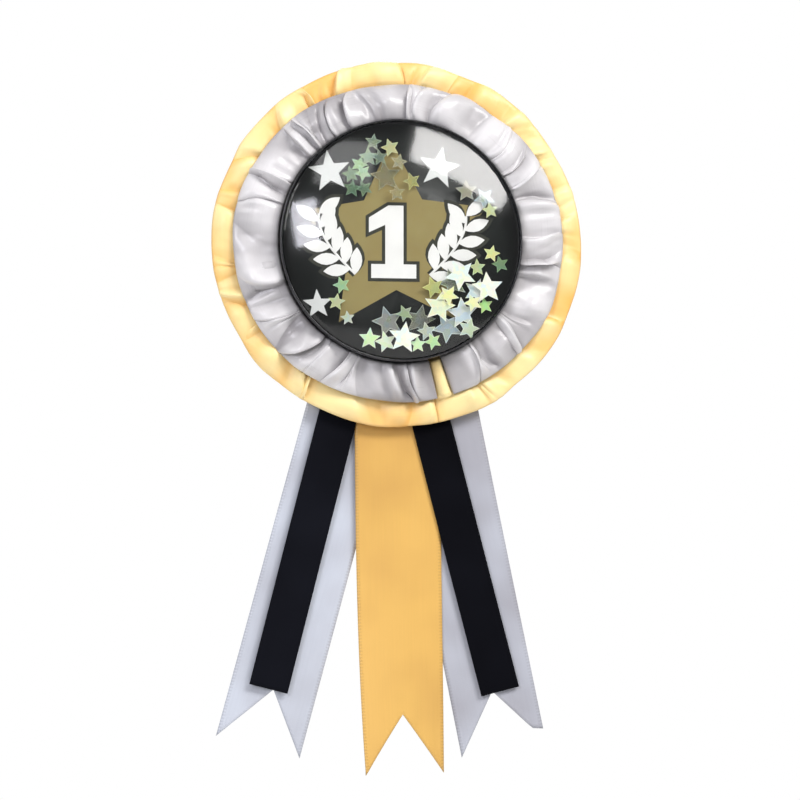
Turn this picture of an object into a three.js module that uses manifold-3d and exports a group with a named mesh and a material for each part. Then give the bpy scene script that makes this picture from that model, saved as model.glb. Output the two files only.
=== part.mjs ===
// Award rosette: a round badge with loose foil stars under a clear dome, two gathered satin
// ruffles, five ribbon tails and a bar pin. Millimetres, +Z up, the front faces -Y.
// The origin is the middle of the pin's needle, so the rosette hangs below and in front of it.
import * as THREE from "three";
import { mergeVertices } from "three/addons/utils/BufferGeometryUtils.js";
import Module from "manifold-3d";

const wasm = await Module();
wasm.setup();

// General
const GAP = 0.15; // air between neighbours that touch on the real thing
const ROUND_STEPS = 56; // facets round the large discs and rings
const SMALL_STEPS = 24; // facets round the pin's small parts

// Badge
const BADGE_R = 31;
const CUP_WALL = 0.45;
const CUP_FLOOR = 1;
const CUP_DEPTH = 5.2; // from the cup's rear face to its rim
const DOME_WALL = 0.55;
const DOME_RISE = 6.2; // how far the dome stands out in front of the rim
const DOME_FIT = 0.1; // between the dome's skirt and the cup
const PRINT_T = 0.5;
const PRINT_FIT = 0.25;
const PAD_SETBACK = 2.5; // the glue pad stops this far inside the silver gathering

// Loose stars
const STAR_T = 0.22;
const STAR_LAYERS = 8; // spread evenly between the printed card and the rim
const STAR_INNER = 0.47; // inner corner radius over tip radius
const STAR_R = { large: 4.2, medium: 2.9, small: 2.3 };

// Ruffles, in front of the rosette card
const SILVER_TUCK = 6.5; // hidden under the badge
const SILVER_SHOW = 10.2;
const SILVER_FLANGE = 1.65; // thickness of the gathered edge under the badge
const SILVER_PUFF = 5.4; // how far the folds stand out from the ruffle's rear
const GOLD_TUCK = 10.7; // hidden under the silver ruffle
const GOLD_SHOW = 6;
const GOLD_DEPTH = 2.15;
const THREAD_R = 0.3;

// Cards
const ROSETTE_CARD_T = 1;
const ROSETTE_CARD_LAP = 3.5; // how far the card reaches behind the gold ruffle
const BACK_CARD_T = 0.8;
const BACK_CARD_SETBACK = 3; // the back card's radius is smaller by this
const SPACER_SETBACK = 3; // the foam between the cards stops this far inside the back card
const SPACER_ABOVE_TAILS = 3;

// Ribbon tails
const RIBBON_T = 0.4;
const RIBBON_PITCH = 0.55; // from one layer of ribbon to the next
const WIDE_RIBBON = 22;
const NARROW_RIBBON = 10;
const NOTCH = 15; // depth of the swallowtail cut
const WIDE_UNDER = 31.2; // length hidden above the gold ruffle's lower edge
const NARROW_UNDER = 25.2;
const BEND_BELOW = 0.8; // the foremost bending line, below the gold ruffle
const BEND_STEP = 0.6; // each layer further back bends this much lower
const BEND_SLIT = 0.72; // between the glued and the hanging length of one ribbon
const HANG_SHARE = 0.42; // the share of the slit that lies under the bending line

// Bar pin
const PIN_RISE = 14; // the needle's height above the rosette's centre
const PIN_STANDOFF = 4.2; // from the needle's axis to the back card
const NEEDLE_R = 0.45;
const NEEDLE_REACH = 29; // from the rivet to the tip
const NEEDLE_POINT = 3;
const RIVET_R = 0.55;
const RIVET_FIT = 0.07;
const RIVET_HEAD_R = 1.05;
const RIVET_HEAD_T = 0.45;
const EYE_WALL = 0.7;
const EYE_T = 1.2;
const EAR_T = 0.6;
const EAR_GAP = 0.15; // on each side of the needle's eye
const EAR_TOP = 1.5; // above the needle's axis
const PLATE_T = 0.7;
const PLATE_W = 5.2;
const PLATE_END = 1.7; // the plate goes on past the rivet and the catch
const PLATE_HOLE_R = 0.95;
const PIN_PAD_T = 0.95;
const PIN_PAD_MARGIN = 0.6;
const CATCH_L = 3;
const CATCH_WALL = 0.45;
const CATCH_OPENING = 1.7;
const CATCH_FROM_TIP = 0.4; // the tip stands out of the catch by this
const LOCK_BORE_FIT = 0.18; // round the needle
const LOCK_WALL = 0.5;
const LOCK_FIT = 0.12; // between the lock and the catch
const LOCK_SLOT = 1.24;
const LOCK_COLLAR_L = 1.9;
const LOCK_COLLAR_WALL = 0.4;
const LOCK_TAB_L = 1.5;
const LOCK_TAB_T = 0.8;
const LOCK_END_GAP = 0.25;

// Radii that follow from the sizes above
const cupInner = BADGE_R - CUP_WALL;
const domeOuter = cupInner - DOME_FIT;
const windowR = domeOuter - DOME_WALL;
const silverInner = BADGE_R - SILVER_TUCK;
const silverOuter = BADGE_R + SILVER_SHOW;
const goldInner = silverOuter - GOLD_TUCK;
const goldOuter = silverOuter + GOLD_SHOW;
const rosetteCardR = goldInner + ROSETTE_CARD_LAP;
const backCardR = rosetteCardR - BACK_CARD_SETBACK;

// Depths, from the back card's rear face towards the front
const backFaceY = -PIN_STANDOFF;
const backCardFrontY = backFaceY - BACK_CARD_T;
const RIBBON_LAYERS = 4;
const ribbonY = (layer) => backCardFrontY - GAP - layer * RIBBON_PITCH;
const cardRearY = ribbonY(RIBBON_LAYERS - 1) - RIBBON_T - GAP;
const cardFrontY = cardRearY - ROSETTE_CARD_T;
const goldRearY = cardFrontY - GAP;
const goldFrontY = goldRearY - GOLD_DEPTH;
const silverRearY = goldFrontY - GAP;
const flangeFrontY = silverRearY - SILVER_FLANGE;
const cupRearY = flangeFrontY - GAP;
const floorFrontY = cupRearY - CUP_FLOOR;
const printRearY = floorFrontY - GAP;
const printFrontY = printRearY - PRINT_T;
const rimY = cupRearY - CUP_DEPTH;
const starPitch = (printFrontY - rimY - 2 * GAP - STAR_T) / (STAR_LAYERS - 1);
const starY = (layer) => printFrontY - GAP - layer * starPitch;

// Finishes
const finish = (color, roughness, metalness = 0, opacity = 1) =>
  new THREE.MeshStandardMaterial({ color, roughness, metalness, opacity, transparent: opacity < 1 });
const SATIN_GOLD = finish("#f4cc78", 0.42);
const SATIN_SILVER = finish("#cfcdd1", 0.4);
const SATIN_BLACK = finish("#17191f", 0.5);
const CLEAR = finish("#eef2f2", 0.05, 0, 0.3);
const BLACK_PLASTIC = finish("#141414", 0.35);
const BLACK_CARD = finish("#1d211f", 0.6);
const FOIL = finish("#e9f0e4", 0.15, 0.6);
const CARD = finish("#e8e4da", 0.85);
const FOAM = finish("#f4f4f2", 0.9);
const THREAD = finish("#e9e6e0", 0.7);
const STEEL = finish("#c9cacc", 0.25, 1);

// Geometry helpers

function toSolid(geometry) {
  const bare = geometry.clone();
  bare.deleteAttribute("normal");
  bare.deleteAttribute("uv");
  const merged = mergeVertices(bare, 1e-4);
  return new wasm.Manifold(new wasm.Mesh({
    numProp: 3,
    vertProperties: merged.attributes.position.array,
    triVerts: new Uint32Array(merged.index.array),
  }));
}

function toGeometry(solid) {
  const mesh = solid.getMesh();
  return new THREE.BufferGeometry()
    .setAttribute("position", new THREE.BufferAttribute(mesh.vertProperties, 3))
    .setIndex(new THREE.BufferAttribute(mesh.triVerts, 1));
}

const joined = (...geometries) =>
  toGeometry(geometries.map(toSolid).reduce((all, next) => all.add(next)));

const cutFrom = (geometry, ...cuts) =>
  toGeometry(cuts.map(toSolid).reduce((left, cut) => left.subtract(cut), toSolid(geometry)));

function namedMesh(name, geometry, material) {
  const mesh = new THREE.Mesh(geometry, material);
  mesh.name = name;
  return mesh;
}

// A body of revolution about Y. The outline's pairs are radius and height.
const turned = (outline, steps = ROUND_STEPS) =>
  new THREE.LatheGeometry(outline.map(([r, y]) => new THREE.Vector2(r, y)), steps);

const disc = (radius, rearY, frontY) =>
  turned([[0, frontY], [radius, frontY], [radius, rearY], [0, rearY]]);

const ring = (inner, outer, low, high, steps) =>
  turned([[inner, low], [outer, low], [outer, high], [inner, high], [inner, low]], steps);

// A flat outline in X and Z, its rear face at rearY and its thickness towards the front.
const plate = (shape, rearY, thickness) =>
  new THREE.ExtrudeGeometry(shape, { depth: thickness, bevelEnabled: false, curveSegments: 16 })
    .rotateX(Math.PI / 2)
    .translate(0, rearY, 0);

function arcPoints(baseR, baseY, rise, steps) {
  const sphereR = (baseR * baseR + rise * rise) / (2 * rise);
  const half = Math.asin(baseR / sphereR);
  return Array.from({ length: steps + 1 }, (_, i) => {
    const angle = (half * i) / steps;
    return [sphereR * Math.sin(angle), baseY - rise + sphereR * (1 - Math.cos(angle))];
  });
}

// Badge: a black cup with a printed card, under a clear dome

function badgeCup() {
  return turned([
    [0, floorFrontY],
    [cupInner, floorFrontY],
    [cupInner, rimY],
    [BADGE_R, rimY],
    [BADGE_R, cupRearY],
    [0, cupRearY],
  ]);
}

function clearDome() {
  const skirtY = printFrontY - DOME_FIT;
  const outside = arcPoints(domeOuter, rimY, DOME_RISE, 10);
  const inside = arcPoints(windowR, rimY, DOME_RISE - DOME_WALL, 10).reverse();
  outside[0][0] = 0;
  inside[inside.length - 1][0] = 0;
  return turned([...outside, [domeOuter, skirtY], [windowR, skirtY], ...inside]);
}

// Places of the loose stars, as shares of the way from the centre to where a star of
// that size touches the wall. Layer 0 lies on the printed card.
const LOOSE_STARS = [
  { size: "large", across: 0.38, up: -0.66, turn: -12, layer: 5 },
  { size: "large", across: 0.62, up: -0.72, turn: 6, layer: 3 },
  { size: "large", across: 0.87, up: -0.46, turn: 5, layer: 4 },
  { size: "large", across: 0.02, up: -0.98, turn: -8, layer: 7 },
  { size: "large", across: 0.19, up: -0.79, turn: -12, layer: 0 },
  { size: "large", across: -0.13, up: -0.81, turn: 16, layer: 1 },
  { size: "large", across: 0.47, up: -0.86, turn: 30, layer: 2 },
  { size: "large", across: -0.15, up: 0.65, turn: 9, layer: 0 },
  { size: "medium", across: 0.31, up: -0.44, turn: 20, layer: 2 },
  { size: "medium", across: -0.3, up: -0.94, turn: -4, layer: 3 },
  { size: "medium", across: -0.15, up: -0.97, turn: 14, layer: 4 },
  { size: "medium", across: 0.63, up: 0.49, turn: 4, layer: 2 },
  { size: "medium", across: 0.81, up: 0.43, turn: 33, layer: 1 },
  { size: "small", across: 0.79, up: -0.59, turn: 12, layer: 1 },
  { size: "small", across: 0.15, up: -0.97, turn: 2, layer: 5 },
  { size: "small", across: 0.29, up: -0.94, turn: 25, layer: 6 },
  { size: "small", across: -0.55, up: -0.42, turn: 18, layer: 0 },
  { size: "small", across: -0.6, up: -0.58, turn: -9, layer: 2 },
  { size: "small", across: 0.94, up: -0.2, turn: 15, layer: 0 },
  { size: "small", across: -0.39, up: 0.71, turn: -20, layer: 1 },
];

function starShape(tipR, turn) {
  const shape = new THREE.Shape();
  for (let corner = 0; corner < 10; corner += 1) {
    const r = corner % 2 ? tipR * STAR_INNER : tipR;
    const angle = THREE.MathUtils.degToRad(90 + turn + 36 * corner);
    shape[corner ? "lineTo" : "moveTo"](r * Math.cos(angle), r * Math.sin(angle));
  }
  return shape.closePath();
}

function looseStar({ size, across, up, turn, layer }, index) {
  const tipR = STAR_R[size];
  const free = windowR - tipR - GAP;
  const geometry = plate(starShape(tipR, turn), 0, STAR_T);
  const name = `loose_star_${String(index + 1).padStart(2, "0")}`;
  const star = namedMesh(name, geometry, FOIL);
  star.position.set(across * free, starY(layer), up * free);
  return star;
}

// Ruffles: the outer shape that the gathered satin fills

function silverRuffle() {
  const edge = silverOuter;
  const wall = BADGE_R + 2 * GAP;
  const crestY = silverRearY - SILVER_PUFF;
  return turned([
    [silverInner, flangeFrontY],
    [wall, flangeFrontY],
    [wall, crestY + 0.3],
    [wall + 0.45 * SILVER_SHOW, crestY],
    [edge - 0.5, silverRearY - 0.5 * SILVER_PUFF],
    [edge, silverRearY - 0.25 * SILVER_PUFF],
    [edge - 1.5, silverRearY],
    [silverInner, silverRearY],
    [silverInner, flangeFrontY],
  ]);
}

function goldRuffle() {
  return turned([
    [goldInner, goldFrontY],
    [goldOuter - GOLD_SHOW, goldFrontY],
    [goldOuter - 0.4, goldRearY - 0.7 * GOLD_DEPTH],
    [goldOuter, goldRearY - 0.35 * GOLD_DEPTH],
    [goldOuter - 0.6, goldRearY],
    [goldInner, goldRearY],
    [goldInner, goldFrontY],
  ]);
}

// The gathering thread lies just inside the ruffle's gathered edge.
function gatherThread(ruffleInner, middleY) {
  const r = ruffleInner - 2 * THREAD_R;
  const outline = Array.from({ length: 9 }, (_, i) => {
    const angle = (2 * Math.PI * (i % 8)) / 8;
    return [r + THREAD_R * Math.cos(angle), middleY + THREAD_R * Math.sin(angle)];
  });
  return turned(outline);
}

// Cards, and the foam between them above the tails

function cardSpacer() {
  const radius = backCardR - SPACER_SETBACK;
  const chordZ = WIDE_UNDER - goldOuter + SPACER_ABOVE_TAILS;
  const chord = Math.asin(chordZ / radius);
  const shape = new THREE.Shape();
  shape.absarc(0, 0, radius, chord, Math.PI - chord, false);
  shape.closePath();
  const thickness = backCardFrontY - cardRearY - 2 * GAP;
  return plate(shape, backCardFrontY - GAP, thickness);
}

// The back card's rear face has a ring of its own outside the pin, where it rests on cloth.
function backCard() {
  const pinRing = backCardR / 2;
  return turned([
    [0, backCardFrontY],
    [backCardR, backCardFrontY],
    [backCardR, backFaceY],
    [pinRing, backFaceY],
    [0, backFaceY],
  ]);
}

// Ribbon tails. Each one is glued between the cards and hangs from a bending line
// below the ruffles. across is the middle of the ribbon at the gold ruffle's lower edge,
// slant leans the hanging end to the wearer's left, and drop is its length from there.
const TAILS = [
  { name: "silver_tail_left", width: WIDE_RIBBON, across: -13.3, slant: -15.2, drop: 84.2,
    notch: NOTCH, layer: 0, under: WIDE_UNDER, snip: 0, material: SATIN_SILVER },
  { name: "silver_tail_right", width: WIDE_RIBBON, across: 11.1, slant: 11.5, drop: 83.7,
    notch: NOTCH, layer: 1, under: WIDE_UNDER, snip: 3, material: SATIN_SILVER },
  { name: "gold_tail", width: WIDE_RIBBON, across: 0.2, slant: 0.7, drop: 88.1,
    notch: NOTCH, layer: 2, under: WIDE_UNDER, snip: 0, material: SATIN_GOLD },
  { name: "black_tail_left", width: NARROW_RIBBON, across: -15.9, slant: -14.3, drop: 68.7,
    notch: 0, layer: 3, under: NARROW_UNDER, snip: 0, material: SATIN_BLACK },
  { name: "black_tail_right", width: NARROW_RIBBON, across: 9.3, slant: 14.5, drop: 69.6,
    notch: 0, layer: 3, under: NARROW_UNDER, snip: 0, material: SATIN_BLACK },
];

const bendZ = (layer) =>
  -goldOuter - BEND_BELOW - BEND_STEP * (RIBBON_LAYERS - 1 - layer);

function tailPair({ name, width, across, slant, drop, notch, layer, under, snip, material }) {
  const lean = THREE.MathUtils.degToRad(slant);
  const startZ = -goldOuter;
  const half = width / 2;
  // A point at a distance along the ribbon from its start, and to the right of its middle.
  const along = (distance, side) => new THREE.Vector2(
    across + distance * Math.sin(lean) + side * Math.cos(lean),
    startZ - distance * Math.cos(lean) + side * Math.sin(lean),
  );
  // Where a long edge of the ribbon crosses a height.
  const edgeAt = (side, z) => {
    const from = along(0, side);
    return new THREE.Vector2(from.x + (from.y - z) * Math.tan(lean), z);
  };
  const bend = bendZ(layer);
  const hangZ = bend - HANG_SHARE * BEND_SLIT;
  const glueZ = bend + (1 - HANG_SHARE) * BEND_SLIT;
  const topZ = startZ + under;
  const glued = new THREE.Shape([
    edgeAt(-half, topZ),
    edgeAt(-half, glueZ),
    edgeAt(half, glueZ),
    edgeAt(half, topZ),
  ]);
  const end = [along(drop, -half), along(drop - notch, 0), along(drop - snip, half)];
  if (!notch) end.splice(1, 1);
  const hanging = new THREE.Shape([edgeAt(-half, hangZ), ...end, edgeAt(half, hangZ)]);
  const rear = ribbonY(layer);
  return [
    namedMesh(`${name}_top`, plate(glued, rear, RIBBON_T), material),
    namedMesh(name, plate(hanging, rear, RIBBON_T), material),
  ];
}

// Bar pin

const rivetX = -NEEDLE_REACH / 2;
const tipX = NEEDLE_REACH / 2;
const plateFrontY = backFaceY + GAP + PIN_PAD_T + GAP; // the side that faces the card
const plateRearY = plateFrontY + PLATE_T;
const rivetHoleR = RIVET_R + RIVET_FIT;
const lockBore = NEEDLE_R + LOCK_BORE_FIT;
const lockOuter = lockBore + LOCK_WALL;
const catchInner = lockOuter + LOCK_FIT;
const catchOuter = catchInner + CATCH_WALL;
const catchEndX = tipX - CATCH_FROM_TIP;
const catchStartX = catchEndX - CATCH_L;
const earInner = EYE_T / 2 + EAR_GAP;
const earOuter = earInner + EAR_T;

const alongX = (geometry) => geometry.rotateZ(-Math.PI / 2);
const alongZ = (geometry) => geometry.rotateX(Math.PI / 2);

const box = (lowX, highX, lowY, highY, lowZ, highZ) =>
  new THREE.BoxGeometry(highX - lowX, highY - lowY, highZ - lowZ)
    .translate((lowX + highX) / 2, (lowY + highY) / 2, (lowZ + highZ) / 2);

function roundedBar(fromX, toX, width) {
  const r = width / 2;
  const shape = new THREE.Shape();
  shape.absarc(toX - r, 0, r, -Math.PI / 2, Math.PI / 2, false);
  shape.absarc(fromX + r, 0, r, Math.PI / 2, 1.5 * Math.PI, false);
  return shape.closePath();
}

// One ear: a lug with a round end, standing on the plate beside the needle's eye.
function ear(side) {
  const lugR = EAR_TOP;
  const round = alongZ(turned([[0, -EAR_T / 2], [lugR, -EAR_T / 2], [lugR, EAR_T / 2],
    [0, EAR_T / 2]], SMALL_STEPS));
  const foot = box(-lugR, lugR, plateRearY - PLATE_T / 2, 0, -EAR_T / 2, EAR_T / 2);
  return joined(round, foot).translate(rivetX, 0, side * (earInner + EAR_T / 2));
}

function pinBase() {
  const barShape = roundedBar(rivetX - PLATE_END, tipX + PLATE_END - CATCH_FROM_TIP, PLATE_W);
  const bar = plate(barShape, plateRearY, PLATE_T);
  const catchRing = alongX(ring(catchInner, catchOuter, 0, CATCH_L, SMALL_STEPS))
    .translate(catchStartX, 0, 0);
  const footTop = -catchInner - CATCH_WALL / 2;
  const foot = box(catchStartX, catchEndX, plateRearY - PLATE_T / 2, footTop, -1, 1);
  const whole = joined(bar, ear(-1), ear(1), catchRing, foot);
  const opening = box(catchStartX - 1, catchEndX + 1, 0, 2 * catchOuter,
    -CATCH_OPENING / 2, CATCH_OPENING / 2);
  const rivetHole = alongZ(turned([[0, -4], [rivetHoleR, -4], [rivetHoleR, 4], [0, 4]],
    SMALL_STEPS)).translate(rivetX, 0, 0);
  const sewingHoles = [-0.45, 0.35].map((share) =>
    turned([[0, -1], [PLATE_HOLE_R, -1], [PLATE_HOLE_R, 1], [0, 1]], SMALL_STEPS)
      .translate(share * tipX, plateRearY, 0));
  return cutFrom(whole, opening, rivetHole, ...sewingHoles);
}

function pinRivet() {
  const inner = earOuter + 0.05;
  const end = inner + RIVET_HEAD_T;
  return alongZ(turned([
    [0, -end],
    [RIVET_HEAD_R, -end],
    [RIVET_HEAD_R, -inner],
    [RIVET_R, -inner],
    [RIVET_R, inner],
    [RIVET_HEAD_R, inner],
    [RIVET_HEAD_R, end],
    [0, end],
  ], SMALL_STEPS)).translate(rivetX, 0, 0);
}

function pinNeedle() {
  const eyeOuter = rivetHoleR + EYE_WALL;
  const eye = alongZ(ring(rivetHoleR, eyeOuter, -EYE_T / 2, EYE_T / 2, SMALL_STEPS))
    .translate(rivetX, 0, 0);
  const start = rivetHoleR + EYE_WALL / 2;
  const shaft = alongX(turned([
    [0, start],
    [NEEDLE_R, start],
    [NEEDLE_R, NEEDLE_REACH - NEEDLE_POINT],
    [0, NEEDLE_REACH],
  ], SMALL_STEPS / 2)).translate(rivetX, 0, 0);
  return joined(eye, shaft);
}

// The lock is a slotted barrel in the catch, with a collar and a thumb tab beside it.
function pinLock() {
  const collarEnd = catchStartX - LOCK_END_GAP;
  const collarStart = collarEnd - LOCK_COLLAR_L;
  const collarR = lockOuter + LOCK_COLLAR_WALL;
  const barrel = alongX(turned([
    [lockBore, collarStart],
    [collarR, collarStart],
    [collarR, collarEnd],
    [lockOuter, collarEnd],
    [lockOuter, catchEndX],
    [lockBore, catchEndX],
    [lockBore, collarStart],
  ], SMALL_STEPS));
  const tab = box(collarStart, collarEnd, -LOCK_TAB_T / 2, LOCK_TAB_T / 2,
    lockOuter, collarR + LOCK_TAB_L);
  const slot = box(collarStart - 1, catchEndX + 1, 0, 2 * collarR, -LOCK_SLOT / 2, LOCK_SLOT / 2);
  return cutFrom(joined(barrel, tab), slot);
}

function pinPad() {
  const shape = roundedBar(
    rivetX - PLATE_END + PIN_PAD_MARGIN,
    tipX + PLATE_END - CATCH_FROM_TIP - PIN_PAD_MARGIN,
    PLATE_W - 2 * PIN_PAD_MARGIN,
  );
  return plate(shape, backFaceY + GAP + PIN_PAD_T, PIN_PAD_T);
}

// The whole rosette

const padRearY = cardFrontY - GAP;
const rosette = new THREE.Group();
rosette.position.z = -PIN_RISE;
rosette.add(
  namedMesh("clear_dome", clearDome(), CLEAR),
  namedMesh("badge_cup", badgeCup(), BLACK_PLASTIC),
  namedMesh("print_card", disc(cupInner - PRINT_FIT, printRearY, printFrontY), BLACK_CARD),
  ...LOOSE_STARS.map(looseStar),
  namedMesh("badge_glue_pad", disc(silverInner - PAD_SETBACK, padRearY, flangeFrontY), FOAM),
  namedMesh("silver_ruffle", silverRuffle(), SATIN_SILVER),
  namedMesh("silver_gather_thread",
    gatherThread(silverInner, (silverRearY + flangeFrontY) / 2), THREAD),
  namedMesh("gold_ruffle", goldRuffle(), SATIN_GOLD),
  namedMesh("gold_gather_thread", gatherThread(goldInner, (goldRearY + goldFrontY) / 2), THREAD),
  namedMesh("rosette_card", disc(rosetteCardR, cardRearY, cardFrontY), CARD),
  namedMesh("card_spacer", cardSpacer(), FOAM),
  ...TAILS.flatMap(tailPair),
  namedMesh("back_card", backCard(), CARD),
);

const pin = new THREE.Group();
pin.add(
  namedMesh("pin_pad", pinPad(), FOAM),
  namedMesh("pin_base", pinBase(), STEEL),
  namedMesh("pin_rivet", pinRivet(), STEEL),
  namedMesh("pin_needle", pinNeedle(), STEEL),
  namedMesh("pin_lock", pinLock(), STEEL),
);

const awardRosette = new THREE.Group();
awardRosette.add(rosette, pin);

export default awardRosette;
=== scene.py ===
"""Looks of the award rosette: a badge with loose foil stars under a clear dome, two gathered
satin ruffles, five ribbon tails and a bar pin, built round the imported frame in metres."""

import math
import random

import bmesh
import bpy
from mathutils import Euler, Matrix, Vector, noise


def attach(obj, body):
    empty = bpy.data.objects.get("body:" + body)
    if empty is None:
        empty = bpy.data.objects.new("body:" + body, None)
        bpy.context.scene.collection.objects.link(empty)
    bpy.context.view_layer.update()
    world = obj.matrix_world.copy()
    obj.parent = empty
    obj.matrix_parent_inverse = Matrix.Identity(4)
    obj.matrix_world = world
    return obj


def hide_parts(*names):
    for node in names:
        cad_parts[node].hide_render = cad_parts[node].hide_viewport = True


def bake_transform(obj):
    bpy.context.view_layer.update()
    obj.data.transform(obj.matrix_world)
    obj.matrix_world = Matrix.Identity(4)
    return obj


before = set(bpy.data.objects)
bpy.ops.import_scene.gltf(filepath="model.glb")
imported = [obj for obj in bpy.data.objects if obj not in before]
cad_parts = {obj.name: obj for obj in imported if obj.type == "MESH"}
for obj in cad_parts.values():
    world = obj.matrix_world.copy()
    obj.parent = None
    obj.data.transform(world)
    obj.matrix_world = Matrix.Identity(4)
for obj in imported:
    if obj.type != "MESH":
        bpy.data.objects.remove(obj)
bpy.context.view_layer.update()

# Camera, light and floor --------------------------------------------------------------
# The rosette hangs on its pin, seen from a little left of and below its front.
MM = 0.001
CENTRE_Z = -14.0  # the rosette's centre below the pin's needle, in millimetres


def from_front(azimuth, elevation, distance, aim):
    """A point at that distance from aim, its azimuth to the right of the front."""
    a, e = math.radians(azimuth), math.radians(elevation)
    way = Vector((math.sin(a) * math.cos(e), -math.cos(a) * math.cos(e), math.sin(e)))
    return Vector(aim) + way * distance


def face(obj, aim):
    obj.rotation_euler = (Vector(aim) - obj.location).to_track_quat("-Z", "Y").to_euler()


VIEW_AIM = (0.0006, -0.009, -0.0542)
camera = bpy.data.objects.new("camera", bpy.data.cameras.new("camera"))
bpy.context.scene.collection.objects.link(camera)
camera.location = from_front(-7.5, -4.5, 0.75, VIEW_AIM)
face(camera, VIEW_AIM)
camera.data.sensor_width = 36
camera.data.lens = 131.8
camera.data.clip_end = 20
bpy.context.scene.camera = camera
bpy.context.scene.view_settings.view_transform = "Standard"


LIGHT_AIM = (0, -0.012, -0.03)


def softbox(name, azimuth, elevation, distance, size, watts, colour=(1, 1, 1), roll=0.0):
    """A rectangular light aimed at the badge, its size and distance in metres."""
    lamp = bpy.data.lights.new(name, "AREA")
    lamp.shape, (lamp.size, lamp.size_y) = "RECTANGLE", size
    lamp.energy, lamp.color = watts, colour
    obj = bpy.data.objects.new(name, lamp)
    bpy.context.scene.collection.objects.link(obj)
    obj.location = from_front(azimuth, elevation, distance, LIGHT_AIM)
    face(obj, LIGHT_AIM)
    obj.rotation_euler.rotate_axis("Z", math.radians(roll))


softbox("key_light", 38, 37, 0.9, (0.62, 0.25), 8.0, (1, 0.985, 0.97), roll=-38)
softbox("left_light", -33, 14, 0.9, (0.16, 0.28), 2.4, (0.93, 0.92, 1), roll=12)
softbox("side_light", -78, 25, 0.9, (0.3, 0.4), 1.8)
softbox("veil_light", -19, 39, 0.9, (0.34, 0.28), 1.0)
softbox("low_light", -36, -42, 0.9, (0.34, 0.3), 0.9)
softbox("rear_light", 170, 35, 1.0, (0.5, 0.5), 6.0)

world = bpy.data.worlds.new("studio")
bpy.context.scene.world = world
world.use_nodes = True
sky = world.node_tree.nodes
glow = sky["Background"]
glow.inputs["Color"].default_value = (0.97, 0.975, 1, 1)
glow.inputs["Strength"].default_value = 0.33
backdrop = sky.new("ShaderNodeBackground")
backdrop.inputs["Color"].default_value = (1, 1, 1, 1)
sight = sky.new("ShaderNodeLightPath")
choice = sky.new("ShaderNodeMixShader")
world.node_tree.links.new(sight.outputs["Is Camera Ray"], choice.inputs[0])
world.node_tree.links.new(glow.outputs[0], choice.inputs[1])
world.node_tree.links.new(backdrop.outputs[0], choice.inputs[2])
world.node_tree.links.new(choice.outputs[0], sky["World Output"].inputs["Surface"])


def mesh_piece(name, points, faces, material, smooth=True, merge=True):
    """A mesh object from points in millimetres, with its faces turned outwards."""
    mesh = bpy.data.meshes.new(name)
    mesh.from_pydata([(x * MM, y * MM, z * MM) for x, y, z in points], [], faces)
    if merge:
        work = bmesh.new()
        work.from_mesh(mesh)
        bmesh.ops.remove_doubles(work, verts=work.verts, dist=1e-7)
        bmesh.ops.recalc_face_normals(work, faces=work.faces)
        work.to_mesh(mesh)
        work.free()
    mesh.polygons.foreach_set("use_smooth", [smooth] * len(mesh.polygons))
    mesh.materials.append(material)
    obj = bpy.data.objects.new(name, mesh)
    bpy.context.scene.collection.objects.link(obj)
    return obj


def plain_material(name, colour, roughness, **sockets):
    """A Principled material, its constants set on the shader's own sockets."""
    material = bpy.data.materials.new(name)
    material.use_nodes = True
    shader = material.node_tree.nodes["Principled BSDF"]
    shader.inputs["Base Color"].default_value = (*colour, 1)
    shader.inputs["Roughness"].default_value = roughness
    for socket, value in sockets.items():
        shader.inputs[socket.replace("_", " ")].default_value = value
    return material


floor_paint = plain_material("floor_paint", (0.86, 0.86, 0.85), 0.6)
floor = mesh_piece("studio_floor", [(-500, -500, -300), (500, -500, -300), (500, 500, -300),
                                    (-500, 500, -300)], [(0, 1, 2, 3)], floor_paint, merge=False)

# Badge cup ----------------------------------------------------------------------------
# A shallow black cup of moulded styrene with a polished rolled rim. The printed card and
# the dome press into it, and the ruffles are glued behind it.
CUP_R, CUP_INNER, CUP_REAR, CUP_FLOOR_FRONT, CUP_RIM = 31.0, 30.55, -12.6, -13.6, -17.8


def turned(name, outline, material, steps=180):
    """A body turned about the rosette's axis, from pairs of radius and depth."""
    points, faces = [], []
    for i in range(steps):
        a = 2 * math.pi * i / steps
        points += [(r * math.cos(a), y, CENTRE_Z + r * math.sin(a)) for r, y in outline]
    n = len(outline)
    for i in range(steps):
        j = (i + 1) % steps
        for k in range(n):
            m = (k + 1) % n
            if outline[k][0] == 0 and outline[m][0] == 0:
                continue
            ring = [i * n + k, j * n + k, j * n + m, i * n + m]
            if outline[k][0] == 0:
                ring.pop(1)
            elif outline[m][0] == 0:
                ring.pop(2)
            faces.append(ring)
    return mesh_piece(name, points, faces, material)


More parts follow.
